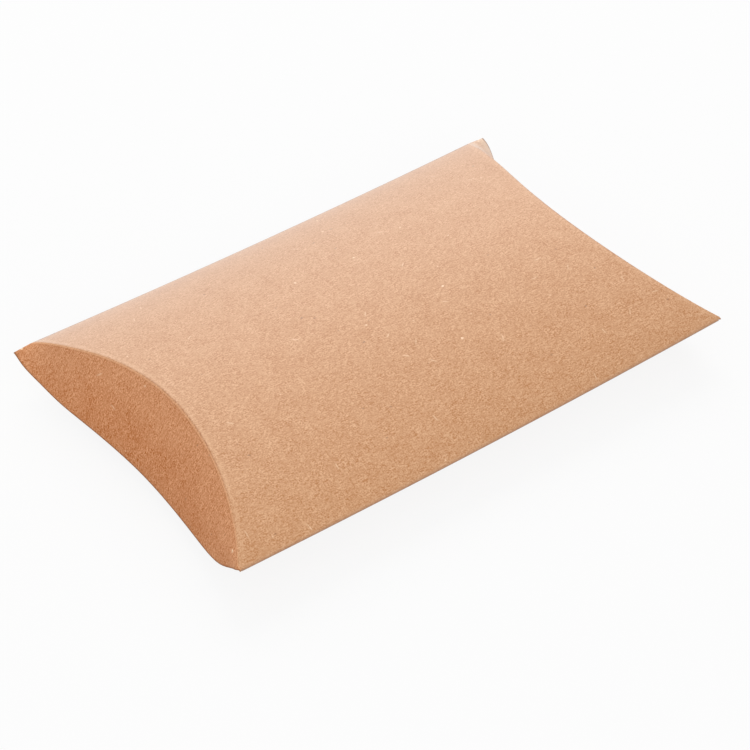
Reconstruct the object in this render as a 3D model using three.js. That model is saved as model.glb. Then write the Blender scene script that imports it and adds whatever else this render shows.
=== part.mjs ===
// A pillow box of kraft board: two arched panels joined at their side edges, closed at each end by a
// pair of curved flaps. Every piece is a sheet of board of one thickness, bent along straight lines.
// Millimetres. +X runs along the box, +Y to its back edge, +Z up. The origin lies under its middle.
import * as THREE from "three";

// Overall form
const BOX_LENGTH = 155; // from corner point to corner point
const BOX_WIDTH = 100; // from side edge to side edge
const ARCH_RISE = 11.7; // from the plane of the side edges to the crown of a panel
const ARCH_POWER = 1.92; // a higher power flattens the crown
const ARCH_FULLNESS = 0.8; // below 1 the arch steepens towards its side edges
const CREASE_DEPTH = 16; // from the corner points in to the middle of an end crease
const BOARD = 0.45; // thickness of the board
const GAP = 0.3; // clearance between neighbouring pieces

// Scored folds
const CREASE_LEG = 1.2; // reach of an end crease to each side of its fold line
const FOLD_RISE = 0.9; // half the height of the front side fold
const CORNER_RELIEF = 1.8; // from the corner points in to the ends of the front side fold

// Glued seam along the back edge
const SEAM_RISE = 1.5; // half the height of the back side fold
const LIP_RISE = 0.15; // height of the top panel's cut edge over the plane of the side edges
const TAB_WIDTH = 11; // across the glue tab
const TAB_INSET = 12; // from the corner points in to the ends of the glue tab, at its fold
const TAB_TAPER = 6; // how much further in the free edge of the glue tab ends
const GLUE_FILM = 0.2; // thickness of the glue line
const GLUE_CLEARANCE = 0.15; // on each side of the glue line
const GLUE_WIDTH = 6; // across the glue line
const GLUE_INSET = 24; // from the corner points in to the ends of the glue line

// End flaps
const OUTER_DEPTH = 22.1; // at the middle of an outer flap, from its fold line to its free edge
const OUTER_POWER = 2; // a higher power squares the free edge of an outer flap
const OUTER_BLUNTNESS = 0.63; // below 1 the free edge of an outer flap steepens at its tips
const OUTER_LEAN = 28.2; // degrees that a closed outer flap leans out from the vertical
const OUTER_TIP = 0.6; // least length of an outer flap, past its crease
const NOTCH_SLOPE = 0.87; // rise, along the crease, of the straight cut at the front end of an outer flap
const TIP_ZONE = 8.7; // from the back edge in to where the outer folds begin to open out
const TIP_INSET = 3.3; // from the corner points in to the back ends of the outer creases
const TIP_LENGTH = 3.9; // length of the blunt back end of an outer flap
const TIP_POWER = 3; // a higher power keeps the opening out closer to the back edge
const INNER_DEPTH = 17; // at the middle of an inner flap, from its fold line to its free edge
const INNER_LEAN = -15; // degrees, negative because a closed inner flap leans into the box
const INNER_TIP = 6; // from a side edge in to the tip of an inner flap

// Facets
const ARCH_STATIONS = 48; // across the box, even, so that a flat strip lies at the crown
const LIP_STATIONS = 4; // down the lip of the top panel
const CREASE_STATIONS = 5; // round an end crease
const FOLD_STATIONS = 13; // round a side fold
const APEX_STEPS = 30; // to find the inner corner of the front side fold
const LENGTH_STEPS = 60; // to measure the length of a fold line
const TANGENT_STEP = 1e-4; // to find the direction of a fold line

const LEFT = -1;
const RIGHT = 1;
const TOP = 1;
const BOTTOM = -1;
const FRONT = -1;

const CREASE_SLOPE = CREASE_DEPTH / ARCH_RISE; // an end crease lies in a sloping plane
const CREASE_REACH = CREASE_LEG + GAP; // where the panel and the flap beside a crease begin
const SEAM_DEPTH = BOARD + GLUE_FILM + 2 * GLUE_CLEARANCE; // from the top panel's face to the glue tab

const kraft = () => new THREE.MeshStandardMaterial({ color: 0xc99b70, roughness: 0.9, metalness: 0 });
const kraftShade = () => new THREE.MeshStandardMaterial({ color: 0xb98a60, roughness: 0.92, metalness: 0 });
const glue = () => new THREE.MeshStandardMaterial({ color: 0xe8dfc8, roughness: 0.6, metalness: 0 });

// The arch that all panels share: its height over the plane of the side edges, and its slope.
function archHeight(y) {
  const across = Math.abs((2 * y) / BOX_WIDTH);
  return ARCH_RISE * (1 - across ** ARCH_POWER) ** ARCH_FULLNESS;
}

function archSlope(y) {
  const across = Math.abs((2 * y) / BOX_WIDTH);
  const inner = 1 - across ** ARCH_POWER;
  const steepness = ARCH_FULLNESS * ARCH_POWER * inner ** (ARCH_FULLNESS - 1) * across ** (ARCH_POWER - 1);
  return (-Math.sign(y) * ARCH_RISE * steepness * 2) / BOX_WIDTH;
}

// The distance from the middle at which the arch has a given height.
function halfWidthAt(rise) {
  return (BOX_WIDTH / 2) * (1 - (rise / ARCH_RISE) ** (1 / ARCH_FULLNESS)) ** (1 / ARCH_POWER);
}

function archNormal(y) {
  const slope = archSlope(y);
  return new THREE.Vector2(-slope, 1).normalize();
}

// A point of the arch, set in from its outer face by depth, as (y, height).
function archPoint(y, depth) {
  return new THREE.Vector2(y, archHeight(y)).addScaledVector(archNormal(y), -depth);
}

// Values from first to last, closer together towards both ends.
function stations(first, last, count) {
  const middle = (first + last) / 2;
  const half = (last - first) / 2;
  return Array.from({ length: count }, (_, i) => middle - half * Math.cos((Math.PI * i) / (count - 1)));
}

// Values from -edge to edge in pairs about the middle, closer together towards the edges.
function pairedStations(edge, count) {
  const last = (count - 1) / 2;
  return Array.from({ length: count }, (_, i) => edge * Math.sin(((i - last) / last) * (Math.PI / 2)));
}

// The base stands on the flat strip at the crown of the bottom panel.
const FOLD_EDGE = halfWidthAt(FOLD_RISE);
const PANEL_EDGE = FOLD_EDGE - GAP;
const SEAM_EDGE = halfWidthAt(SEAM_RISE);
const TAB_EDGE = SEAM_EDGE - GAP;
const panelStations = pairedStations(PANEL_EDGE, ARCH_STATIONS);
const MID_HEIGHT = Math.max(...panelStations.map(archHeight));

// The shared stations between two edges, with the edges themselves, so that facets line up.
function stationsBetween(front, back) {
  return [front, ...panelStations.filter((y) => y > front + GAP && y < back - GAP), back];
}

// One closed body between an outer and an inner grid of points, with walls round its rim.
function sheetGeometry(rows, columns, pointAt) {
  const positions = [];
  const index = [];
  const across = columns.length;
  for (const offset of [0, 1])
    for (const row of rows)
      for (const column of columns) positions.push(...pointAt(row, column, offset).toArray());
  const inner = rows.length * across;
  const quad = (a, b, c, d) => index.push(a, b, c, a, c, d);
  for (let i = 0; i + 1 < rows.length; i++)
    for (let j = 0; j + 1 < across; j++) {
      const corner = i * across + j;
      quad(corner, corner + 1, corner + across + 1, corner + across);
      quad(inner + corner, inner + corner + across, inner + corner + across + 1, inner + corner + 1);
    }
  const rim = [
    ...columns.map((_, j) => j),
    ...rows.slice(1).map((_, i) => (i + 2) * across - 1),
    ...columns.slice(1).map((_, j) => inner - 2 - j),
    ...rows.slice(1, -1).map((_, i) => (rows.length - 2 - i) * across),
  ];
  rim.forEach((a, i) => {
    const b = rim[(i + 1) % rim.length];
    quad(b, a, inner + a, inner + b);
  });
  if (signedVolume(positions, index) < 0) index.reverse();
  const geometry = new THREE.BufferGeometry();
  geometry.setAttribute("position", new THREE.Float32BufferAttribute(positions, 3));
  geometry.setIndex(index);
  geometry.computeVertexNormals();
  return geometry;
}

function signedVolume(positions, index) {
  const corner = (i) => new THREE.Vector3().fromArray(positions, 3 * index[i]);
  let volume = 0;
  for (let i = 0; i < index.length; i += 3) volume += corner(i).dot(corner(i + 1).cross(corner(i + 2))) / 6;
  return volume;
}

const box = new THREE.Group();

function addSheet(name, material, rows, columns, pointAt) {
  const mesh = new THREE.Mesh(sheetGeometry(rows, columns, pointAt), material);
  mesh.name = name;
  box.add(mesh);
}

// A point of the arch at x along the box, on the top or the bottom side.
function boxPoint(side, x, y, depth) {
  const point = archPoint(y, depth);
  return new THREE.Vector3(x, point.x, MID_HEIGHT + side * point.y);
}

// How far the outer folds have opened out: not at all over most of the box, fully at its back edge.
function openedOut(y) {
  return Math.max(0, 1 - (BOX_WIDTH / 2 - y) / TIP_ZONE) ** TIP_POWER;
}

// How far from the middle of the box an end crease has its fold line.
function foldReach(side, y) {
  const inset = side === TOP ? TIP_INSET * Math.sqrt(openedOut(y)) : 0;
  return BOX_LENGTH / 2 - CREASE_SLOPE * archHeight(y) - inset;
}

// Panels, bent across and straight along the box, which stop short of the creases at their ends.
function panelEnd(side, y) {
  return foldReach(side, y) - CREASE_REACH;
}

function addPanel(name, side, rows) {
  addSheet(name, kraft(), rows, [LEFT, RIGHT], (y, end, inside) =>
    boxPoint(side, end * panelEnd(side, y), y, inside * BOARD),
  );
}

// The front side fold turns from the bottom panel to the top one round the arch's sharp edge.
function addFrontFold() {
  let apex = BOARD; // where the inner faces of the two legs meet
  for (let i = 0; i < APEX_STEPS; i++) apex = BOARD * archNormal(halfWidthAt(apex)).y;
  const end = BOX_LENGTH / 2 - CORNER_RELIEF;
  const turns = stations(-1, 1, FOLD_STATIONS);
  addSheet("front_side_fold", kraft(), turns, [LEFT, RIGHT], (turn, along, inside) => {
    const side = turn < 0 ? BOTTOM : TOP;
    const nearest = inside ? apex : 0;
    const rise = nearest + (FOLD_RISE - nearest) * Math.abs(turn);
    const y = halfWidthAt(rise);
    const point = inside ? archPoint(y, BOARD) : new THREE.Vector2(y, rise);
    return new THREE.Vector3(along * end, FRONT * point.x, MID_HEIGHT + side * point.y);
  });
}

// The back side fold turns from the bottom panel to the glue tab, inside the top panel's cut edge.
function addBackFold() {
  const normal = archNormal(SEAM_EDGE);
  const low = archPoint(SEAM_EDGE, 0).multiply(new THREE.Vector2(1, -1));
  const high = archPoint(SEAM_EDGE, SEAM_DEPTH);
  const middle = low.clone().add(high).divideScalar(2);
  const half = high.clone().sub(middle);
  const nose = middle.add(new THREE.Vector2((half.y * normal.y) / normal.x, (half.x * normal.x) / normal.y));
  const bend = new THREE.QuadraticBezierCurve(low, nose, high);
  const end = panelEnd(TOP, halfWidthAt(LIP_RISE));
  addSheet("back_side_fold", kraft(), stations(0, 1, FOLD_STATIONS), [LEFT, RIGHT], (turn, along, inside) => {
    const tangent = bend.getTangent(turn);
    const inwards = new THREE.Vector2(-tangent.y, tangent.x);
    const point = bend.getPoint(turn).addScaledVector(inwards, inside * BOARD);
    return new THREE.Vector3(along * end, point.x, MID_HEIGHT + point.y);
  });
}

// The glue tab lies under the back edge of the top panel, with the glue line between them.
function addSeam() {
  const tabEnd = (y) => BOX_LENGTH / 2 - TAB_INSET - (TAB_TAPER * (TAB_EDGE - y)) / TAB_WIDTH;
  addSheet(
    "glue_tab",
    kraftShade(),
    stationsBetween(TAB_EDGE - TAB_WIDTH, TAB_EDGE),
    [LEFT, RIGHT],
    (y, along, inside) => boxPoint(TOP, along * tabEnd(y), y, SEAM_DEPTH + inside * BOARD),
  );
  const glueMiddle = TAB_EDGE - TAB_WIDTH / 2;
  const glueEnd = BOX_LENGTH / 2 - GLUE_INSET;
  addSheet(
    "glue_line",
    glue(),
    stations(glueMiddle - GLUE_WIDTH / 2, glueMiddle + GLUE_WIDTH / 2, FOLD_STATIONS),
    [LEFT, RIGHT],
    (y, along, inside) => boxPoint(TOP, along * glueEnd, y, BOARD + GLUE_CLEARANCE + inside * GLUE_FILM),
  );
}

// The fold line of an end crease, and the flap's straight lines that run from it.
function foldLine(end, side, y) {
  return new THREE.Vector3(end * foldReach(side, y), y, MID_HEIGHT + side * archHeight(y));
}

// The length of an outer fold line, from the front corner point.
function foldLength(y) {
  const front = -BOX_WIDTH / 2;
  const shares = Array.from({ length: LENGTH_STEPS + 1 }, (_, i) => (i / LENGTH_STEPS) ** 2);
  const points = shares.map((share) => foldLine(RIGHT, TOP, front + (y - front) * share));
  return points.slice(1).reduce((length, point, i) => length + point.distanceTo(points[i]), 0);
}

function flapDirection(end, side, lean) {
  const angle = THREE.MathUtils.degToRad(lean);
  return new THREE.Vector3(end * Math.sin(angle), 0, -side * Math.cos(angle));
}

// The outward normal of a flap, square to its fold line and to its straight lines.
function flapNormal(end, side, lean, y) {
  const along = foldLine(end, side, y + TANGENT_STEP).sub(foldLine(end, side, y - TANGENT_STEP));
  return along.cross(flapDirection(end, side, lean)).normalize().multiplyScalar(-end * side);
}

// An end crease rounds the corner between its panel and its flap.
function addCrease(name, end, side, leanAt, rows) {
  const intoPanel = new THREE.Vector3(-end, 0, 0);
  addSheet(name, kraft(), rows, stations(0, 1, CREASE_STATIONS), (y, turn, inside) => {
    const corner = foldLine(end, side, y);
    const bend = new THREE.QuadraticBezierCurve3(
      corner.clone().addScaledVector(intoPanel, CREASE_LEG),
      corner,
      corner.clone().addScaledVector(flapDirection(end, side, leanAt(y)), CREASE_LEG),
    );
    const panelNormal = archNormal(y);
    const normal = new THREE.Vector3(0, panelNormal.x, side * panelNormal.y);
    normal.lerp(flapNormal(end, side, leanAt(y), y), turn).normalize();
    return bend.getPoint(turn).addScaledVector(normal, -inside * BOARD);
  });
}

// A flap runs in straight lines from its crease to its free edge.
function addFlap(name, end, side, leanAt, rows, depthAt) {
  addSheet(name, kraftShade(), rows, [0, 1], (y, out, inside) =>
    foldLine(end, side, y)
      .addScaledVector(flapDirection(end, side, leanAt(y)), CREASE_REACH + out * (depthAt(y) - CREASE_REACH))
      .addScaledVector(flapNormal(end, side, leanAt(y), y), -inside * BOARD),
  );
}

// An outer flap opens out until, at its back tip, it lies level with the top panel.
function outerLean(y) {
  return OUTER_LEAN + (90 - OUTER_LEAN) * openedOut(y);
}

function innerLean() {
  return INNER_LEAN;
}

// The free edge of an outer flap is a full curve, cut off straight at the front and blunt at the back.
function outerDepth(y) {
  const across = Math.abs((2 * y) / BOX_WIDTH);
  const curve = OUTER_DEPTH * (1 - across ** OUTER_POWER) ** OUTER_BLUNTNESS;
  const full = Math.hypot(curve, TIP_LENGTH * openedOut(y));
  return Math.max(Math.min(full, NOTCH_SLOPE * foldLength(y)), CREASE_REACH + OUTER_TIP);
}

// The free edge of an inner flap follows the arch, so that it tucks in under the top panel.
function innerDepth(y) {
  return (INNER_DEPTH * archHeight(y)) / ARCH_RISE;
}

const lipRows = stations(FOLD_RISE, LIP_RISE, LIP_STATIONS).map(halfWidthAt);
addPanel("top_panel", TOP, [...panelStations, ...lipRows]);
addPanel("bottom_panel", BOTTOM, stationsBetween(-PANEL_EDGE, TAB_EDGE));
addFrontFold();
addBackFold();
addSeam();

const OUTER_FRONT = -(PANEL_EDGE - GAP);
const BOTTOM_CREASE_EDGE = TAB_EDGE - GAP;
const INNER_EDGE = BOX_WIDTH / 2 - INNER_TIP;
const outerRows = [OUTER_FRONT, ...panelStations.filter((y) => y > OUTER_FRONT + GAP), ...lipRows];
const bottomCreaseRows = stationsBetween(-BOTTOM_CREASE_EDGE, BOTTOM_CREASE_EDGE);
const innerRows = stationsBetween(-INNER_EDGE, INNER_EDGE);
for (const [prefix, end] of [["left", LEFT], ["right", RIGHT]]) {
  addCrease(`${prefix}_top_crease`, end, TOP, outerLean, outerRows);
  addCrease(`${prefix}_bottom_crease`, end, BOTTOM, innerLean, bottomCreaseRows);
  addFlap(`${prefix}_outer_flap`, end, TOP, outerLean, outerRows, outerDepth);
  addFlap(`${prefix}_inner_flap`, end, BOTTOM, innerLean, innerRows, innerDepth);
}

export default box;
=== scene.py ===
"""Looks of a kraft pillow box: bent board with rounded scored folds, cut edges and fibre specks."""

import math

import bpy
import numpy as np
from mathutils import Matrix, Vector


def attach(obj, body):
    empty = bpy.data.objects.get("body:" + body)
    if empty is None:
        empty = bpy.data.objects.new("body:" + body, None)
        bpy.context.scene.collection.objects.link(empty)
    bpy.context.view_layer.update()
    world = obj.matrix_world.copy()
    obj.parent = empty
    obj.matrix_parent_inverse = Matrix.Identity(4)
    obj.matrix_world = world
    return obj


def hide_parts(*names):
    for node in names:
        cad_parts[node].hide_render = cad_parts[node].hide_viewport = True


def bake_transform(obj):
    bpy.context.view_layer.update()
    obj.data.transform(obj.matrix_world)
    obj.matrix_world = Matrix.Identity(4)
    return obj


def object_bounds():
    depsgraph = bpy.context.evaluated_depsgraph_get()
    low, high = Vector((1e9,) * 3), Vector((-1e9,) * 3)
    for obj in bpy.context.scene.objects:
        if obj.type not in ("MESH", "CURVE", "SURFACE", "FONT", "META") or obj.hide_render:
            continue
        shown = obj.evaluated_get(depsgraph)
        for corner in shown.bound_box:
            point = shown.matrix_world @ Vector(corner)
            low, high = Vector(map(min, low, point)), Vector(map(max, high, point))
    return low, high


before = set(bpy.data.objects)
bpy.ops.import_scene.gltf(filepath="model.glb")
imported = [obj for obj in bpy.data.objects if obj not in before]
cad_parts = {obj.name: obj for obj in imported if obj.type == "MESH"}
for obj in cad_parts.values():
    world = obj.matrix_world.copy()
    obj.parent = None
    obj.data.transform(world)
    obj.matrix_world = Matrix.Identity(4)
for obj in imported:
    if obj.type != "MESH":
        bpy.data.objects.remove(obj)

CAD_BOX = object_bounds()
MM = 0.001
TOP, BOTTOM = 1, -1
LEFT, RIGHT = -1, 1

# Overall form, in metres
LENGTH = 155 * MM  # from corner point to corner point
WIDTH = 100.4 * MM  # from side edge to side edge
RISE = 11.7 * MM  # from the plane of the side edges to the crown of a panel
ARCH_POWER = 1.92  # a higher power flattens the crown
ARCH_FULLNESS = 0.8  # below 1 the arch steepens towards its side edges
CREASE_DEPTH = {LEFT: 15.4 * MM, RIGHT: 16 * MM}  # from the corner points in to each crease's middle
BOARD = 0.45 * MM  # thickness of the board
SAG = 1.24 * MM  # how far the side edges dip at the middle of their length
MID = (CAD_BOX[0].z + CAD_BOX[1].z) / 2  # height of the corner points

# Folds and seam
FOLD_LEG = 0.55 * MM  # reach of a rounded end crease to each side of its fold line
CREASE_RELIEF = {LEFT: 1.73 * MM, RIGHT: 1.0 * MM}  # from the corner points in to each crease's front end
CREASE_RISE = 0.4 * MM  # height of the front ends of the outer creases over the side plane
SIDE_FOLD_RISE = 0.75 * MM  # half the height of the rounded front fold
SEAM_RISE = 0.9 * MM  # half the height of the rounded back fold
EDGE_LINE = 0.5 * MM  # how far under the nose of a side fold lies the score that its painted shade and highlight lines follow
LIP_RISE = 0.35 * MM  # height of the top panel's cut edge over the side plane
GLUE_FILM = 0.15 * MM  # room between the top panel and the glue tab
GLUE_MARGIN = GLUE_FILM / 10  # clearance on each side of the glue line
SEAM_DEPTH = BOARD + GLUE_FILM  # from the top panel's face to the glue tab's
TAB_WIDTH = 11 * MM
TAB_INSET = 12 * MM  # from the corner points in to the tab's ends, at the back fold
TAB_TAPER = 6 * MM  # how much farther in the ends are at the tab's free edge
GLUE_WIDTH = 6 * MM
GLUE_INSET = 24 * MM  # from the corner points in to the ends of the glue line

# End flaps
OUTER_DEPTH = 22.6 * MM  # at the middle of an outer flap, from its fold line to its free edge
OUTER_POWER = 1.99  # a higher power squares the free edge
OUTER_BLUNTNESS = 0.57  # below 1 the free edge steepens at its tips
OUTER_LEAN = math.radians(25.8)  # out from the vertical
OUTER_TIP = 0.1 * MM  # least length of an outer flap, past its rounded crease
OUTER_BULGE = 0.055  # how far an outer flap swells out between its crease and its free edge, for its depth
NOTCH_RUN = 20 * MM  # along the crease, from the corner point to where the front cut is measured
NOTCH_DEPTH = 22.2 * MM  # how far from the crease the front cut is there
NOTCH_POWER = 1.14  # above 1 the front cut is hollow
NOTCH_SHARPNESS = 6.0  # of the rounded corner between the front cut and the free edge
TIP_ZONE = {LEFT: 24.0 * MM, RIGHT: 32.3 * MM}  # from the back edge in to where the folds begin to open out
TIP_INSET = {LEFT: 4.57 * MM, RIGHT: 5.0 * MM}  # from the corner points in to the outer creases' back ends
TIP_LENGTH = {LEFT: 5.16 * MM, RIGHT: 4.73 * MM}  # of the blunt back end of each outer flap
INSET_POWER = 2.74  # a higher power keeps each of these closer to the back edge
LENGTH_POWER = 4.0
LEAN_POWER = 6.5
INNER_DEPTH = 17 * MM  # at the middle of an inner flap
INNER_LEAN = math.radians(-15)  # negative because a closed inner flap leans into the box
INNER_TIP = 6 * MM  # from a side edge in to the tip of an inner flap

# Mesh density
ROWS = 121  # across the box
COLUMNS = 61  # along the box
BEND_COLUMNS = 9  # round an end crease
FLAP_COLUMNS = 25  # from an end crease to the free edge
BEND_ROWS = 11  # round a side fold
SLOPE_STEP = 0.01 * MM  # over which a slope is measured
LEAST_SPACING = 0.1 * MM  # between places across the box
SHARP_ANGLE = math.radians(40)

# Where an opening flap's bend would start and finish, as distances from the plane of its crease; nothing is
# bent by them
BEND_START = 1.9 * MM
BEND_END = {TOP: 10.0 * MM, BOTTOM: 15.8 * MM}

# Layers of the blank's pattern, so that no two pieces show the same stretch of it
TOP_LAYER, BOTTOM_LAYER, TAB_LAYER, GLUE_LAYER = 0.0, 0.2, 0.4, 0.6
INSIDE_LAYER = 0.05  # from a sheet's outer face to its inner one

# Where the board is scored, and where painted shade and painted highlight lie along its scores, rims and
# opened tips
FAR_FROM_SCORE = -5 * MM
FAR_FROM_RIM = 5 * MM
LIP_SHARPNESS = 0.35  # the painted shade line is wider at the lip than elsewhere, as 1 is to this
NOSE_LINE = 0.2  # where the painted shade line of a side fold lies, as a share of the way up it
LIKE_PANEL = 0.6, 0.78  # how far opened out a tip begins to take the panel's colours in place of the flaps' painted shade colours, and fully does
TIP_HIGHLIGHT_RAMP = 0.76, 0.88  # the same for the painted highlight on its corner
TIP_HIGHLIGHT_STRENGTH = 0.8, 0.2  # strength of that painted highlight, at its free edge and farther in
TIP_HIGHLIGHT_RIM = 3.5 * MM  # from the free edge in to where the painted highlight is weaker
GROOVE_MIDDLE = 44 * MM  # along the arch, to where the painted shade in the end creases is strongest
GROOVE_FADE = 10 * MM, 36 * MM  # how far from there they begin to fade, and where they are faint
FAINT_GROOVE = 0.1
CREASE_SLOT = 2  # the material slot of the panel's side of a crease

# Photograph's camera
FRAME_PIXELS = 750
FOCAL_PIXELS = 2593.4
CENTRE_PIXEL = (371.7, 334.2)
CAMERA_AZIMUTH = math.radians(-36.92)
CAMERA_ELEVATION = math.radians(40.55)
CAMERA_DISTANCE = 673.1 * MM
SENSOR = 36.0


# Form of the bent board


def arch(y):
    """The arch's height at y, as a share of its full rise."""
    across = np.minimum(np.abs(2 * y / WIDTH), 1)
    return (1 - across**ARCH_POWER) ** ARCH_FULLNESS


def half_width_at(rise):
    """The distance from the middle at which the arch has a given height."""
    return WIDTH / 2 * (1 - (rise / RISE) ** (1 / ARCH_FULLNESS)) ** (1 / ARCH_POWER)


def dip(x):
    return SAG * (1 - (2 * x / LENGTH) ** 2)


def panel_point(side, x, y):
    """A point of the outer face of the top or the bottom panel."""
    height = MID - dip(x) + side * (RISE + side * dip(x)) * arch(y)
    return np.stack(np.broadcast_arrays(x, y, height), -1)


def panel_slope(side, x, y):
    ahead, behind = panel_point(side, x, y + SLOPE_STEP), panel_point(side, x, y - SLOPE_STEP)
    return (ahead - behind)[..., 2] / (2 * SLOPE_STEP)


def panel_inset(side, x, y, depth):
    """A point of the panel, set in from its outer face."""
    slope = panel_slope(side, x, y)
    length = np.sqrt(1 + slope**2)
    inwards = np.stack([0 * slope, side * slope / length, -side / length], -1)
    return panel_point(side, x, y) + depth * inwards


def opened_out(end, y):
    """How far the outer folds have opened out: not at all over most of the box, fully at its back edge."""
    return np.clip(1 - (WIDTH / 2 - y) / TIP_ZONE[end], 0, 1)


def fold_x(end, side, y):
    """How far from the middle of the box the fold line of an end crease lies."""
    inset = TIP_INSET[end] * opened_out(end, y) ** INSET_POWER if side == TOP else 0
    return np.minimum(LENGTH / 2 - CREASE_DEPTH[end] * arch(y) - inset, LENGTH / 2 - CREASE_RELIEF[end])


def panel_end(end, side, y):
    return fold_x(end, side, y) - FOLD_LEG


FRONT_EDGE = -half_width_at(SIDE_FOLD_RISE)
SEAM_EDGE = half_width_at(SEAM_RISE)
LIP_EDGE = half_width_at(LIP_RISE)
CREASE_FRONT = -half_width_at(CREASE_RISE)
INNER_EDGE = WIDTH / 2 - INNER_TIP


def shared_stations():
    """Places across the box, close together at its edges, that all pieces share."""
    turns = np.linspace(-math.pi / 2, math.pi / 2, ROWS)
    edges = [FRONT_EDGE, CREASE_FRONT, -INNER_EDGE, INNER_EDGE, SEAM_EDGE, LIP_EDGE]
    edges.append(SEAM_EDGE - TAB_WIDTH)
    places = [y for y in WIDTH / 2 * np.sin(turns) if min(abs(y - e) for e in edges) > LEAST_SPACING]
    return np.array(sorted(places + edges))


def running_length(*coordinates):
    """Length along a line from its first point to each of its points."""
    steps = np.sqrt(sum(np.diff(c) ** 2 for c in coordinates))
    return np.concatenate([[0], np.cumsum(steps)])


STATIONS = shared_stations()
ALONG = np.linspace(-1, 1, COLUMNS)
ARCH_LENGTH = running_length(STATIONS, RISE * arch(STATIONS))
# Along the left outer crease, which stands for the right one too where the front cut is measured
FOLD_LENGTH = running_length(fold_x(LEFT, TOP, STATIONS), STATIONS, RISE * arch(STATIONS))


def spread(left, right):
    """Places along the box from one end to the other."""
    return ALONG * np.where(ALONG < 0, left, right)


def between(low, high):
    return STATIONS[(STATIONS >= low) & (STATIONS <= high)]


def arc_at(y):
    return np.interp(y, STATIONS, ARCH_LENGTH)


# Meshes


def grid_normals(points):
    """Unit normals of a grid of points."""
    normal = np.cross(np.gradient(points, axis=1), np.gradient(points, axis=0))
    return normal / np.linalg.norm(normal, axis=-1, keepdims=True)


def add_values(mesh, name, kind, field, values):
    layer = mesh.attributes.new(name, kind, "POINT")
    layer.data.foreach_set(field, values.astype(np.float32).ravel())


def board_mesh(name, outer, flat, score, outwards, thickness):
    """One closed sheet from the grid of its outer face: flat is its place on the unfolded blank, score the
    distance past a scored line, and outwards a point on the side that the outer face looks to."""
    normal = grid_normals(outer)
    rows, columns = outer.shape[:2]
    centre = rows // 2, columns // 2
    flipped = normal[centre] @ (np.array(outwards) - outer[centre]) < 0
    normal = -normal if flipped else normal
    count = rows * columns
    index = np.arange(count).reshape(rows, columns)
    quads = np.stack([index[:-1, :-1], index[:-1, 1:], index[1:, 1:], index[1:, :-1]], -1).reshape(-1, 4)
    rim = np.concatenate([index[0, :-1], index[:-1, -1], index[-1, :0:-1], index[:0:-1, 0]])
    following = np.roll(rim, -1)
    walls = np.stack([following, rim, rim + count, following + count], -1)
    faces = np.concatenate([quads, quads[:, ::-1] + count, walls])
    if not flipped:
        faces = faces[:, ::-1]
    vertices = np.concatenate([outer.reshape(-1, 3), (outer - thickness * normal).reshape(-1, 3)])
    mesh = bpy.data.meshes.new(name)
    mesh.from_pydata(vertices.tolist(), [], faces.tolist())
    slots = np.zeros(len(faces), int)
    slots[-len(walls):] = 1
    mesh.polygons.foreach_set("material_index", slots)
    mesh.polygons.foreach_set("use_smooth", np.ones(len(faces), bool))
    mesh.set_sharp_from_angle(angle=SHARP_ANGLE)
    inside = flat + np.array([INSIDE_LAYER, 0, INSIDE_LAYER])
    add_values(mesh, "flat", "FLOAT_VECTOR", "vector", np.concatenate([flat, inside]))
    add_values(mesh, "score", "FLOAT", "value", np.concatenate([score, unscored(score)]))
    mesh.update()
    return mesh


def add_board(name, outer, flat, score, outwards, materials, thickness=BOARD):
    mesh = board_mesh(name, outer, flat, score, outwards, thickness)
    for material in materials:
        mesh.materials.append(material)
    piece = bpy.data.objects.new(name, mesh)
    bpy.context.scene.collection.objects.link(piece)
    return piece


def add_painted_light_masks(piece, rim, groove):
    """Gives each point of the outer face its distance from a rim, which places the painted shade along the
    rims and the tip's painted highlight, and how strong the painted groove shade is.
    """
    for name, outside, inside in (("rim", rim, FAR_FROM_RIM), ("groove", groove, 0)):
        values = np.concatenate([outside, np.full_like(outside, inside)])
        add_values(piece.data, name, "FLOAT", "value", values)


def groove_at(y):
    """How strong the painted shade in an end crease's groove is: most over the middle of the box."""
    return np.interp(np.abs(arc_at(y) - GROOVE_MIDDLE), GROOVE_FADE, (1, FAINT_GROOVE))


def blank_place(along, across, layer):
    return np.stack(np.broadcast_arrays(along + layer, across, layer), -1)


def unscored(grid):
    return np.full(grid.shape, FAR_FROM_SCORE)


def rounded(start, corner, end, turn):
    """Points of a bend from start to end, round the corner that their tangents share."""
    return (1 - turn) ** 2 * start + 2 * turn * (1 - turn) * corner + turn**2 * end


def shared_corner(start, start_slope, end, end_slope):
    """Where the tangents at two points of a section across the box meet."""
    rise = end[..., 2] - start[..., 2] + start_slope * start[..., 1] - end_slope * end[..., 1]
    y = rise / (start_slope - end_slope)
    return np.stack([start[..., 0], y, start[..., 2] + start_slope * (y - start[..., 1])], -1)


# Pieces


def add_panel(name, side, back_edge, layer, materials):
    y = between(FRONT_EDGE, back_edge)[:, None]
    x = spread(panel_end(LEFT, side, y), panel_end(RIGHT, side, y))
    outer = panel_point(side, x, y)
    flat = blank_place(x, arc_at(y), layer)
    score = np.abs(x) - np.where(ALONG < 0, fold_x(LEFT, side, y), fold_x(RIGHT, side, y))
    piece = add_board(name, outer, flat, score, (0, 0, side), materials)
    add_painted_light_masks(piece, (arc_at(back_edge) - arc_at(y)) * LIP_SHARPNESS + 0 * x, groove_at(y) + 0 * x)
    return piece


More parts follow.
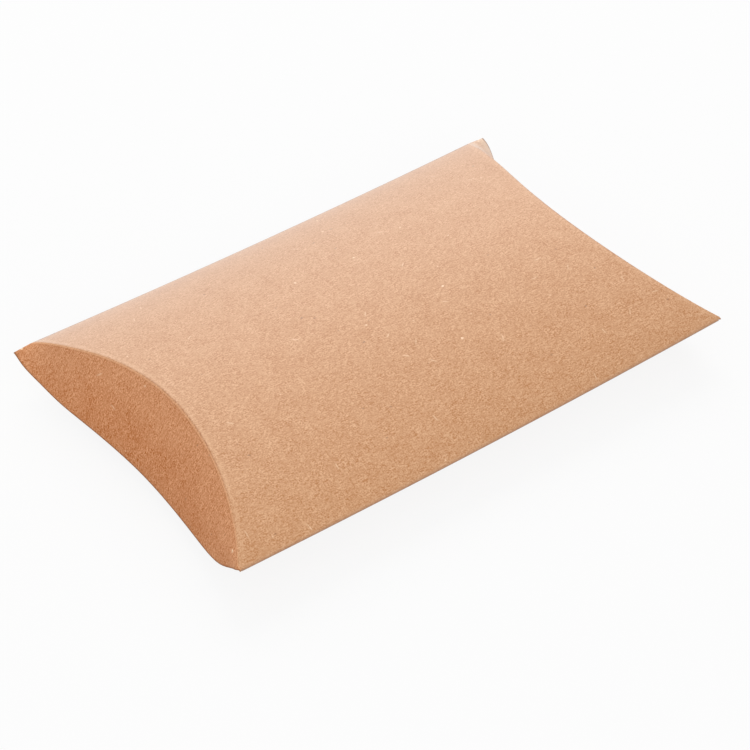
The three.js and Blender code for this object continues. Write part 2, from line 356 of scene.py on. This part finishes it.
def add_side_fold(name, y, high_at, top_y, facing, layer, materials):
    """The rounded fold from the bottom panel's edge at y up to another edge, which high_at gives. It is as
    long as the top panel is at top_y."""
    turn = np.linspace(0, 1, BEND_ROWS)[:, None]
    x = spread(panel_end(LEFT, TOP, top_y), panel_end(RIGHT, TOP, top_y))
    low, high = panel_point(BOTTOM, x, y), high_at(x)
    corner = shared_corner(low, panel_slope(BOTTOM, x, y), high, panel_slope(TOP, x, y))
    outer = rounded(low, corner, high, turn[..., None])
    across = (1 - 2 * turn) * SEAM_RISE
    flat = blank_place(outer[..., 0], arc_at(y) + across, layer)
    score = np.broadcast_to(across - EDGE_LINE, outer.shape[:2])
    piece = add_board(name, outer, flat, score, (0, facing, MID), materials)
    add_painted_light_masks(piece, np.abs(turn - NOSE_LINE) * SIDE_FOLD_RISE + 0 * x, np.ones_like(score))
    return piece


def add_front_fold(materials):
    def high_at(x):
        return panel_point(TOP, x, FRONT_EDGE)

    return add_side_fold("front_fold_board", FRONT_EDGE, high_at, FRONT_EDGE, -1, TOP_LAYER, materials)


def add_back_fold(materials):
    def high_at(x):
        return panel_inset(TOP, x, SEAM_EDGE, SEAM_DEPTH)

    return add_side_fold("back_fold_board", SEAM_EDGE, high_at, LIP_EDGE, 1, BOTTOM_LAYER, materials)


def add_glue_tab(materials):
    y = between(SEAM_EDGE - TAB_WIDTH, SEAM_EDGE)[:, None]
    end = LENGTH / 2 - TAB_INSET - TAB_TAPER * (SEAM_EDGE - y) / TAB_WIDTH
    x = ALONG * end
    outer = panel_inset(TOP, x, y, SEAM_DEPTH)
    flat = blank_place(x, arc_at(y), TAB_LAYER)
    piece = add_board("glue_tab_board", outer, flat, unscored(x), (0, 0, 1), materials)
    add_painted_light_masks(piece, np.full_like(x, FAR_FROM_RIM), np.zeros_like(x))
    return piece


def add_glue_line(materials):
    middle = SEAM_EDGE - TAB_WIDTH / 2
    y = np.linspace(middle - GLUE_WIDTH / 2, middle + GLUE_WIDTH / 2, BEND_ROWS)[:, None]
    x = ALONG * (LENGTH / 2 - GLUE_INSET) * np.ones_like(y)
    outer = panel_inset(TOP, x, y, BOARD + GLUE_MARGIN)
    flat = blank_place(x, y, GLUE_LAYER)
    film = GLUE_FILM - 2 * GLUE_MARGIN
    return add_board("glue_film", outer, flat, unscored(x), (0, 0, 1), materials, film)


def outer_depth(end, y):
    """The free edge of an outer flap: a full curve, cut off at the front and blunt at the back."""
    across = np.abs(2 * y / WIDTH)
    curve = OUTER_DEPTH * (1 - across**OUTER_POWER) ** OUTER_BLUNTNESS
    full = np.hypot(curve, TIP_LENGTH[end] * opened_out(end, y) ** LENGTH_POWER)
    cut = NOTCH_DEPTH * (np.interp(y, STATIONS, FOLD_LENGTH) / NOTCH_RUN) ** NOTCH_POWER
    smaller = (full**-NOTCH_SHARPNESS + cut**-NOTCH_SHARPNESS) ** (-1 / NOTCH_SHARPNESS)
    return np.maximum(smaller, FOLD_LEG + OUTER_TIP)


def outer_lean(end, y):
    return OUTER_LEAN + (math.pi / 2 - OUTER_LEAN) * opened_out(end, y) ** LEAN_POWER


def inner_depth(end, y):
    return INNER_DEPTH * arch(y)


def inner_lean(end, y):
    return np.full_like(y, INNER_LEAN)


def add_flap(name, end, side, edges, lean_at, depth_at, bulge, layer, materials):
    """A flap with its rounded crease, in straight lines from the panel's end to its free edge."""
    y = between(*edges)[:, None]
    lean = lean_at(end, y)
    direction = np.stack([end * np.sin(lean), 0 * lean, -side * np.cos(lean)], -1)
    fold = fold_x(end, side, y)
    start = panel_point(side, end * (fold - FOLD_LEG), y)
    corner = panel_point(side, end * fold, y)
    turn = np.linspace(0, 1, BEND_COLUMNS)[:, None]
    bend = rounded(start, corner, corner + FOLD_LEG * direction, turn)
    share = np.linspace(0, 1, FLAP_COLUMNS)[1:]
    reach = FOLD_LEG + share * (depth_at(end, y) - FOLD_LEG)
    swell = bulge * depth_at(end, y) * 4 * share * (1 - share) * (1 - opened_out(end, y))
    outwards = np.stack([end * np.cos(lean), 0 * lean, side * np.sin(lean)], -1)
    sheet = corner + reach[..., None] * direction + swell[..., None] * outwards
    outer = np.concatenate([bend, sheet], 1)
    score = np.concatenate([(2 * turn.T - 1) * FOLD_LEG + 0 * y, reach], 1)
    flat = blank_place(end * (fold + score), arc_at(y), layer)
    piece = add_board(name, outer, flat, score, (end, 0, MID), materials)
    # Only the right outer flap's opened tip takes the panel's colours and gets a painted highlight
    highlit_tip = end == RIGHT and side == TOP
    opened = opened_out(end, y) * highlit_tip + 0 * score
    add_values(piece.data, "opened", "FLOAT", "value", np.concatenate([opened, opened]))
    add_painted_light_masks(piece, depth_at(end, y) - score, groove_at(y) + 0 * score)
    show_panel_side(piece.data, opened)
    return piece


def show_panel_side(mesh, opened):
    """Gives the panel's half of the crease, and a fully opened tip, the finish of the panel."""
    slots = np.zeros(len(mesh.polygons), int)
    mesh.polygons.foreach_get("material_index", slots)
    rows, columns = opened.shape[0] - 1, opened.shape[1] - 1
    outside = slots[:rows * columns].reshape(rows, columns)
    outside[:, :BEND_COLUMNS // 2] = CREASE_SLOT
    outside[opened[:-1, 0] >= LIKE_PANEL[1]] = CREASE_SLOT
    mesh.polygons.foreach_set("material_index", slots)


def bend_with_joint(piece, end, side):
    """Bakes the flap's place into its mesh and works out where its bend would start and finish; no joint is
    made and nothing bends.
    """
    away = Vector((-end, 0, -side * CREASE_DEPTH[end] / RISE)).normalized()
    corner = Vector((end * LENGTH / 2, 0, MID))
    start, finish = corner + away * BEND_START, corner + away * BEND_END[side]
    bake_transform(piece)
    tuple(start)
    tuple(finish)


# Materials


def new_material(name):
    material = bpy.data.materials.new(name)
    material.use_nodes = True
    tree = material.node_tree
    return material, tree, tree.nodes["Principled BSDF"]


def add_node(tree, kind, inputs=None, **settings):
    node = tree.nodes.new(kind)
    for key, value in settings.items():
        setattr(node, key, value)
    for key, value in (inputs or {}).items():
        if isinstance(value, bpy.types.NodeSocket):
            tree.links.new(value, node.inputs[key])
        else:
            node.inputs[key].default_value = value
    return node


def attribute(tree, name, output="Fac"):
    """A value that the meshes carry at each of their points."""
    return add_node(tree, "ShaderNodeAttribute", attribute_name=name).outputs[output]


def add_bump(tree, shader, height, settings):
    bump = add_node(tree, "ShaderNodeBump", {"Height": height, **settings})
    tree.links.new(bump.outputs["Normal"], shader.inputs["Normal"])


def math_node(tree, operation, first, second=0.0):
    return add_node(tree, "ShaderNodeMath", {0: first, 1: second}, operation=operation).outputs[0]


def times(tree, first, second):
    return math_node(tree, "MULTIPLY", first, second)


def weighted_sum(tree, terms):
    """The sum of values, each times its weight."""
    total = 0.0
    for value, weight in terms:
        inputs = {0: value, 1: weight, 2: total}
        total = add_node(tree, "ShaderNodeMath", inputs, operation="MULTIPLY_ADD").outputs[0]
    return total


def remap(tree, value, low, high, to_low, to_high):
    inputs = {"Value": value, "From Min": low, "From Max": high, "To Min": to_low, "To Max": to_high}
    return add_node(tree, "ShaderNodeMapRange", inputs).outputs["Result"]


def peak(tree, value, centre, half_width, height):
    """A value that rises to height where another is near a centre."""
    distance = math_node(tree, "ABSOLUTE", math_node(tree, "SUBTRACT", value, centre))
    return remap(tree, distance, 0, half_width, height, 0)


# Sockets of a Mix node that mixes colours
MIX_SHARE, MIX_FIRST, MIX_SECOND, MIX_RESULT = 0, 6, 7, 2


def mix_colours(tree, share, first, second):
    inputs = {MIX_SHARE: share, MIX_FIRST: first, MIX_SECOND: second}
    return add_node(tree, "ShaderNodeMix", inputs, data_type="RGBA").outputs[MIX_RESULT]


def noise(tree, place, size, detail=2.0, roughness=0.5, distortion=0.0):
    """Noise whose features are about size across, from 0 to 1."""
    inputs = {"Vector": place, "Scale": 1 / size, "Detail": detail}
    inputs.update({"Roughness": roughness, "Distortion": distortion})
    return add_node(tree, "ShaderNodeTexNoise", inputs).outputs["Fac"]


def stretched_place(tree, place, angle, ratio):
    inputs = {"Vector": place, "Rotation": (0, 0, angle), "Scale": (1 / ratio, 1, 1)}
    return add_node(tree, "ShaderNodeMapping", inputs).outputs["Vector"]


def specks(tree, place, spacing, radius, share):
    """Small soft specks, about spacing apart, that only a share of the cells hold."""
    wobble = noise(tree, place, radius)
    cells = add_node(tree, "ShaderNodeTexVoronoi", {"Vector": place, "Scale": 1 / spacing})
    draw = add_node(tree, "ShaderNodeSeparateColor", {"Color": cells.outputs["Color"]})
    largest, smallest = radius / spacing, SMALLEST_SPECK * radius / spacing
    size = remap(tree, draw.outputs["Green"], 0, 1, smallest, largest)
    size = times(tree, size, remap(tree, wobble, *SOFT_MARKS, *SPECK_WOBBLE))
    inside = math_node(tree, "SUBTRACT", size, cells.outputs["Distance"])
    inside = remap(tree, inside, 0, smallest, 0, 1)
    held = math_node(tree, "LESS_THAN", draw.outputs["Red"], share)
    return times(tree, inside, held)


def stray_fibres(tree, place, spacing, length, width, share):
    """Thin straight fibres, each turned its own way, that only a share of the cells hold."""
    inputs = {"Vector": place, "Scale": 1 / spacing}
    cells = add_node(tree, "ShaderNodeTexVoronoi", inputs, voronoi_dimensions="2D")
    draw = add_node(tree, "ShaderNodeSeparateColor", {"Color": cells.outputs["Color"]})
    inputs = {0: place, 1: cells.outputs["Position"]}
    offset = add_node(tree, "ShaderNodeVectorMath", inputs, operation="SUBTRACT").outputs["Vector"]
    inputs = {"Vector": offset, "Angle": remap(tree, draw.outputs["Green"], 0, 1, 0, math.pi)}
    turned = add_node(tree, "ShaderNodeVectorRotate", inputs, rotation_type="Z_AXIS").outputs["Vector"]
    parts = add_node(tree, "ShaderNodeSeparateXYZ", {"Vector": turned})
    along = math_node(tree, "ABSOLUTE", parts.outputs["X"])
    across = math_node(tree, "ABSOLUTE", parts.outputs["Y"])
    lengthwise = remap(tree, along, FIBRE_FADE * length, length / 2, 1, 0)
    shape = times(tree, lengthwise, remap(tree, across, 0, width, 1, 0))
    held = math_node(tree, "LESS_THAN", draw.outputs["Red"], share)
    return times(tree, shape, held)


# Colours
KRAFT_DARK = (0.412, 0.157, 0.035, 1)
KRAFT_LIGHT = (0.662, 0.378, 0.204, 1)
# The flaps are the panels' board; these deeper, more saturated colours are painted shade
FLAP_SHADED_DARK = (0.397, 0.106, 0.010, 1)
FLAP_SHADED_LIGHT = (0.717, 0.344, 0.174, 1)
# Painted highlight: the pale colour that the far opened tip is painted towards
TIP_HIGHLIGHT_COLOUR = (0.86, 0.68, 0.53, 1)
# Cream of the specks and stray fibres, and also the colour that a flap's painted crease light mixes towards
FIBRE_CREAM_AND_CREASE_LIGHT = (0.92, 0.70, 0.48, 1)
FIBRE_BROWN = (0.19, 0.075, 0.028, 1)
CUT_LIGHT = (0.56, 0.30, 0.150, 1)
CUT_DARK = (0.33, 0.14, 0.055, 1)
# Paler stretched board along a fold, and partly a painted highlight
STRETCHED_AND_HIGHLIT = (0.76, 0.46, 0.26, 1)
# Painted shade in and beside the groove of a score
GROOVE_SHADE = (0.31, 0.085, 0.008, 1)
# Painted shade: the dark line along the rims and low on the side folds
RIM_SHADE = (0.28, 0.115, 0.045, 1)
GLUE_PALE = (0.80, 0.72, 0.56, 1)
GLUE_DULL = (0.66, 0.55, 0.38, 1)

# Values of a noise between which its marks fade, for marks with harder and softer outlines
HARD_MARKS = 0.4, 0.6
PLAIN_MARKS = 0.35, 0.65
SOFT_MARKS = 0.3, 0.7

# Layers of the pulp: the size of their marks, and their weight in its tone
GRAIN_SIZE, GRAIN_WEIGHT = 0.43 * MM, 1.0
FIBRE_SIZE, FIBRE_WEIGHT = 0.26 * MM, 0.55
FLOCK_SIZE, FLOCK_WEIGHT = 1.1 * MM, 0.35
CLOUD_SIZE, CLOUD_WEIGHT = 6 * MM, 0.2
FIBRE_ANGLE = 0.35  # radians, from the length of the box
FIBRE_STRETCH = 5
FIBRE_WAVE = 0.8
MEAN_TONE = (GRAIN_WEIGHT + FIBRE_WEIGHT + FLOCK_WEIGHT + CLOUD_WEIGHT) / 2  # a noise is 0.5 on average
TONE_SPREAD = 0.22  # from the mean tone to the darkest and to the lightest pulp
PATCH_SIZE = 3.5 * MM  # of stretches with fainter and with stronger marks
PATCH_CONTRAST = 0.65, 1.25

# Specks and stray fibres, and how strongly they show
CREAM_SPECKS = {"spacing": 3.6 * MM, "radius": 0.5 * MM, "share": 0.13}
BROWN_SPECKS = {"spacing": 2.7 * MM, "radius": 0.34 * MM, "share": 0.3}
STRAY_FIBRES = {"spacing": 5 * MM, "length": 2.4 * MM, "width": 0.24 * MM, "share": 0.06}
CREAM_STRENGTH, BROWN_STRENGTH, STRAY_STRENGTH = 0.8, 0.6, 0.45
BROWN_ANGLE, BROWN_STRETCH = 0.6, 1.5
SMALLEST_SPECK = 0.5  # as a share of the largest
SPECK_WOBBLE = 0.6, 1.4  # how far a speck's outline wanders in and out
FIBRE_FADE = 0.2  # from the middle of a stray fibre to where it begins to fade, as a share of its length

# Lines along a score: how far past the fold line they lie, or before it if negative, half their width, and
# their strength
# The band before the fold line is painted highlight; the band past it is paler stretched board and partly
# painted highlight
PANEL_HIGHLIGHT_LINE = -1.0 * MM, 0.9 * MM, 0.2
STRETCHED_HIGHLIGHT_LINE = 0.28 * MM, 0.3 * MM, 0.5
# The groove and flap lines are painted shade in and beside the score's groove
GROOVE_LINE = -0.22 * MM, 0.32 * MM, 0.9
FLAP_LINE = 0.68 * MM, 0.25 * MM, 0.3
LINE_BREAKS = 0.9 * MM  # size of the breaks in the painted shade lines
LEAST_GROOVE_SHADE = 0.2  # what is left of a painted shade line at its breaks
CREASE_LIGHT_REACH = 16 * MM  # from a crease to where the painted light on a flap has mostly faded
CREASE_LIGHT_LEFT = 0.2  # what is left of that there
RIM_SHADE_WIDTH = 0.6 * MM

# Surfaces
DULL = 0.1
PANEL_FINISH = {"gloss": 0.5, "sheen": 0.62, "painted_crease_light": 0.0}
SHADED_FLAP_FINISH = {"gloss": DULL, "sheen": 0.0, "painted_crease_light": 0.11}
BOARD_ROUGHNESS = 0.6
SHEEN_ROUGHNESS = 0.5
FIBRE_RELIEF = 0.5  # height of the fibres, as a share of the grain's
BOARD_BUMP = {"Strength": 0.5, "Distance": 0.06 * MM}
CUT_GRAIN = 0.2 * MM
CUT_BUMP = {"Strength": 0.4, "Distance": 0.05 * MM}
CUT_ROUGHNESS = 0.85
GLUE_STREAK, GLUE_STRETCH = 0.8 * MM, 6
GLUE_ROUGHNESS = 0.4


def pulp(tree, place, dark, light):
    """The cloudy, grainy colour of the board, and the height of its surface."""
    grain = noise(tree, place, GRAIN_SIZE, detail=1.5, roughness=0.6)
    along_fibres = stretched_place(tree, place, FIBRE_ANGLE, FIBRE_STRETCH)
    fibres = noise(tree, along_fibres, FIBRE_SIZE, detail=1, distortion=FIBRE_WAVE)
    flocks = noise(tree, place, FLOCK_SIZE)
    cloud = noise(tree, place, CLOUD_SIZE)
    layers = [(grain, GRAIN_WEIGHT), (fibres, FIBRE_WEIGHT), (flocks, FLOCK_WEIGHT), (cloud, CLOUD_WEIGHT)]
    tone = math_node(tree, "SUBTRACT", weighted_sum(tree, layers), MEAN_TONE)
    patches = noise(tree, place, PATCH_SIZE, roughness=0.6)
    tone = times(tree, tone, remap(tree, patches, *PLAIN_MARKS, *PATCH_CONTRAST))
    share = remap(tree, tone, -TONE_SPREAD, TONE_SPREAD, 0, 1)
    height = weighted_sum(tree, [(grain, 1.0), (fibres, FIBRE_RELIEF)])
    return mix_colours(tree, share, dark, light), height


def with_specks(tree, place, colour):
    """The colour with cream specks, pale stray fibres and brown specks on it."""
    cream = specks(tree, place, **CREAM_SPECKS)
    stray = stray_fibres(tree, place, **STRAY_FIBRES)
    brown = specks(tree, stretched_place(tree, place, BROWN_ANGLE, BROWN_STRETCH), **BROWN_SPECKS)
    colour = mix_colours(tree, times(tree, cream, CREAM_STRENGTH), colour, FIBRE_CREAM_AND_CREASE_LIGHT)
    colour = mix_colours(tree, times(tree, stray, STRAY_STRENGTH), colour, FIBRE_CREAM_AND_CREASE_LIGHT)
    return mix_colours(tree, times(tree, brown, BROWN_STRENGTH), colour, FIBRE_BROWN)


def with_painted_light(tree, place, colour, opened, like_panel, painted_crease_light):
    """The colour with painted highlight on an opened tip, near a flap's crease and along the scores, where
    the board is also stretched paler, and painted shade in the grooves and along the rims.
    """
    score, rim = attribute(tree, "score"), attribute(tree, "rim")
    # Painted highlight on the far opened tip, strongest at its free edge
    tip_highlight = remap(tree, rim, 0, TIP_HIGHLIGHT_RIM, *TIP_HIGHLIGHT_STRENGTH)
    tip_highlight = times(tree, tip_highlight, remap(tree, opened, *TIP_HIGHLIGHT_RAMP, 0, 1))
    colour = mix_colours(tree, tip_highlight, colour, TIP_HIGHLIGHT_COLOUR)
    folded = math_node(tree, "SUBTRACT", 1.0, like_panel)
    # Painted light: a flap is painted paler towards its crease
    crease_light = remap(tree, score, 0, CREASE_LIGHT_REACH, painted_crease_light, CREASE_LIGHT_LEFT * painted_crease_light)
    colour = mix_colours(tree, times(tree, crease_light, folded), colour, FIBRE_CREAM_AND_CREASE_LIGHT)
    # Pale bands along the scores: stretched board and painted highlight
    stretch_and_highlight = math_node(tree, "ADD", peak(tree, score, *STRETCHED_HIGHLIGHT_LINE), peak(tree, score, *PANEL_HIGHLIGHT_LINE))
    colour = mix_colours(tree, times(tree, stretch_and_highlight, folded), colour, STRETCHED_AND_HIGHLIT)
    # Painted shade lines in and beside the score's groove
    groove = times(tree, attribute(tree, "groove"), peak(tree, score, *GROOVE_LINE))
    groove_shade_lines = math_node(tree, "ADD", groove, peak(tree, score, *FLAP_LINE))
    broken = remap(tree, noise(tree, place, LINE_BREAKS), *HARD_MARKS, LEAST_GROOVE_SHADE, 1)
    groove_shade_lines = times(tree, times(tree, groove_shade_lines, broken), folded)
    colour = mix_colours(tree, groove_shade_lines, colour, GROOVE_SHADE)
    # Painted shade along the rims
    return mix_colours(tree, remap(tree, rim, 0, RIM_SHADE_WIDTH, 1, 0), colour, RIM_SHADE)


def kraft_material(name, dark, light, gloss, sheen, painted_crease_light):
    """Unbleached board: cloudy, grainy, with cream and brown specks, and with painted highlight and painted
    shade along its scores, rims and opened tip.
    """
    material, tree, shader = new_material(name)
    place = attribute(tree, "flat", "Vector")
    opened = attribute(tree, "opened")
    # An opened tip takes the panels' colours in place of the flaps' painted shade colours
    like_panel = remap(tree, opened, *LIKE_PANEL, 0, 1)
    dark = mix_colours(tree, like_panel, dark, KRAFT_DARK)
    light = mix_colours(tree, like_panel, light, KRAFT_LIGHT)
    colour, height = pulp(tree, place, dark, light)
    colour = with_specks(tree, place, colour)
    colour = with_painted_light(tree, place, colour, opened, like_panel, painted_crease_light)
    tree.links.new(colour, shader.inputs["Base Color"])
    add_bump(tree, shader, height, BOARD_BUMP)
    shader.inputs["Roughness"].default_value = BOARD_ROUGHNESS
    shader.inputs["Specular IOR Level"].default_value = gloss
    shader.inputs["Sheen Weight"].default_value = sheen
    shader.inputs["Sheen Roughness"].default_value = SHEEN_ROUGHNESS
    return material


def edge_material():
    """The board's cut edge: pressed layers of raw pulp."""
    material, tree, shader = new_material("kraft_cut_edge")
    grain = noise(tree, attribute(tree, "flat", "Vector"), CUT_GRAIN, detail=3, roughness=0.6)
    colour = mix_colours(tree, remap(tree, grain, *PLAIN_MARKS, 0, 1), CUT_DARK, CUT_LIGHT)
    tree.links.new(colour, shader.inputs["Base Color"])
    add_bump(tree, shader, grain, CUT_BUMP)
    shader.inputs["Roughness"].default_value = CUT_ROUGHNESS
    shader.inputs["Specular IOR Level"].default_value = DULL
    return material


def glue_material():
    material, tree, shader = new_material("dried_glue")
    place = stretched_place(tree, attribute(tree, "flat", "Vector"), 0, GLUE_STRETCH)
    streaks = noise(tree, place, GLUE_STREAK)
    tree.links.new(mix_colours(tree, streaks, GLUE_PALE, GLUE_DULL), shader.inputs["Base Color"])
    shader.inputs["Roughness"].default_value = GLUE_ROUGHNESS
    return material


# Stage, light and camera

FLOOR_SIZE = 4.0  # metres
FLOOR_DROP = 0.05 * MM  # how far the floor lies under the box
FLOOR_COLOUR = (0.70, 0.70, 0.70, 1)
WHITE = (1, 1, 1, 1)
BACKDROP_SHARE = 0.88  # how much of the floor's look is plain white
AMBIENT = 0.54  # strength of the light from all around


def seen_rays(tree):
    """1 for camera, glossy and transmission rays, which see the pale backdrop."""
    path = add_node(tree, "ShaderNodeLightPath")
    seen = math_node(tree, "MAXIMUM", path.outputs["Is Camera Ray"], path.outputs["Is Glossy Ray"])
    return math_node(tree, "MAXIMUM", seen, path.outputs["Is Transmission Ray"])


def add_floor():
    mesh = bpy.data.meshes.new("floor")
    half = FLOOR_SIZE / 2
    corners = [(-half, -half, 0), (half, -half, 0), (half, half, 0), (-half, half, 0)]
    mesh.from_pydata(corners, [], [(0, 1, 2, 3)])
    floor = bpy.data.objects.new("floor", mesh)
    floor.location.z = -FLOOR_DROP
    bpy.context.scene.collection.objects.link(floor)
    material, tree, shader = new_material("pale_floor")
    shader.inputs["Base Color"].default_value = FLOOR_COLOUR
    shader.inputs["Roughness"].default_value = 1.0
    shader.inputs["Specular IOR Level"].default_value = 0.0
    white = add_node(tree, "ShaderNodeEmission", {"Color": WHITE, "Strength": 1.0})
    share = times(tree, seen_rays(tree), BACKDROP_SHARE)
    mix = add_node(tree, "ShaderNodeMixShader", {0: share, 1: shader.outputs[0], 2: white.outputs[0]})
    tree.links.new(mix.outputs[0], tree.nodes["Material Output"].inputs["Surface"])
    mesh.materials.append(material)


def add_world():
    world = bpy.data.worlds.new("studio")
    world.use_nodes = True
    tree = world.node_tree
    background = tree.nodes["Background"]
    background.inputs["Color"].default_value = WHITE
    strength = remap(tree, seen_rays(tree), 0, 1, AMBIENT, 1)
    tree.links.new(strength, background.inputs["Strength"])
    bpy.context.scene.world = world


def add_area_light(name, direction, distance, size, power):
    light = bpy.data.lights.new(name, "AREA")
    light.shape = "DISK"
    light.size = size
    light.energy = power
    lamp = bpy.data.objects.new(name, light)
    towards = Vector(direction).normalized()
    lamp.location = Vector((0, 0, MID)) + towards * distance
    lamp.rotation_euler = towards.to_track_quat("Z", "Y").to_euler()
    bpy.context.scene.collection.objects.link(lamp)


def add_lights():
    add_area_light("key", direction=(0.46, 0.61, 0.65), distance=1.3, size=0.9, power=10.1)
    add_area_light("fill", direction=(-0.25, -0.85, 0.50), distance=1.4, size=1.2, power=6.2)
    add_area_light("side", direction=(-0.70, -0.30, 0.65), distance=1.4, size=1.2, power=4.2)
    add_area_light("back", direction=(-0.05, 0.95, 0.28), distance=1.4, size=1.0, power=3.4)


def add_camera():
    data = bpy.data.cameras.new("camera")
    camera = bpy.data.objects.new("camera", data)
    bpy.context.scene.collection.objects.link(camera)
    level = math.cos(CAMERA_ELEVATION)
    sideways, forwards = math.sin(CAMERA_AZIMUTH) * level, -math.cos(CAMERA_AZIMUTH) * level
    back = Vector((sideways, forwards, math.sin(CAMERA_ELEVATION)))
    camera.location = Vector((0, 0, MID)) + back * CAMERA_DISTANCE
    camera.rotation_euler = (-back).to_track_quat("-Z", "Y").to_euler()
    data.sensor_width = SENSOR
    data.lens = FOCAL_PIXELS / FRAME_PIXELS * SENSOR
    data.shift_x = (FRAME_PIXELS / 2 - CENTRE_PIXEL[0]) / FRAME_PIXELS
    data.shift_y = (CENTRE_PIXEL[1] - FRAME_PIXELS / 2) / FRAME_PIXELS
    bpy.context.scene.camera = camera


# Assembly


def stand_for(piece, slot, *nodes):
    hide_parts(*nodes)


def build_sleeve(kraft, glue):
    pieces = [
        (add_panel("top_panel_board", TOP, LIP_EDGE, TOP_LAYER, kraft), "kraft_panel", "top_panel"),
        (add_panel("bottom_panel_board", BOTTOM, SEAM_EDGE, BOTTOM_LAYER, kraft), "kraft_panel",
         "bottom_panel"),
        (add_front_fold(kraft[:1] * 2), "kraft_fold", "front_side_fold"),
        (add_back_fold(kraft), "kraft_fold", "back_side_fold"),
        (add_glue_tab(kraft), "kraft_panel", "glue_tab"),
        (add_glue_line(glue), "glue", "glue_line"),
    ]
    for piece, slot, node in pieces:
        stand_for(piece, slot, node)
        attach(piece, "sleeve")


def build_flaps(kraft):
    outer_edges, inner_edges = (CREASE_FRONT, LIP_EDGE), (-INNER_EDGE, INNER_EDGE)
    for word, end in (("left", LEFT), ("right", RIGHT)):
        outer_form = (end, TOP, outer_edges, outer_lean, outer_depth, OUTER_BULGE, TOP_LAYER)
        outer = add_flap(f"{word}_outer_flap_board", *outer_form, kraft)
        stand_for(outer, "kraft_flap", f"{word}_outer_flap", f"{word}_top_crease")
        bend_with_joint(outer, end, TOP)
        inner_form = (end, BOTTOM, inner_edges, inner_lean, inner_depth, 0, BOTTOM_LAYER)
        inner = add_flap(f"{word}_inner_flap_board", *inner_form, kraft)
        stand_for(inner, "kraft_flap", f"{word}_inner_flap", f"{word}_bottom_crease")
        bend_with_joint(inner, end, BOTTOM)


add_camera()
cut_edge = edge_material()
dried_glue = glue_material()
panel_kraft = kraft_material("kraft_board", KRAFT_DARK, KRAFT_LIGHT, **PANEL_FINISH)
# The flaps' material is a painted shade copy of the panels' board: deeper, more saturated colours, less
# gloss and no sheen
shaded_flap_kraft = kraft_material("kraft_flap_board_painted_shade", FLAP_SHADED_DARK, FLAP_SHADED_LIGHT, **SHADED_FLAP_FINISH)
build_sleeve([panel_kraft, cut_edge], [dried_glue, dried_glue])
build_flaps([shaded_flap_kraft, cut_edge, panel_kraft])
add_floor()
add_world()
add_lights()
bpy.context.scene.view_settings.view_transform = "Standard"
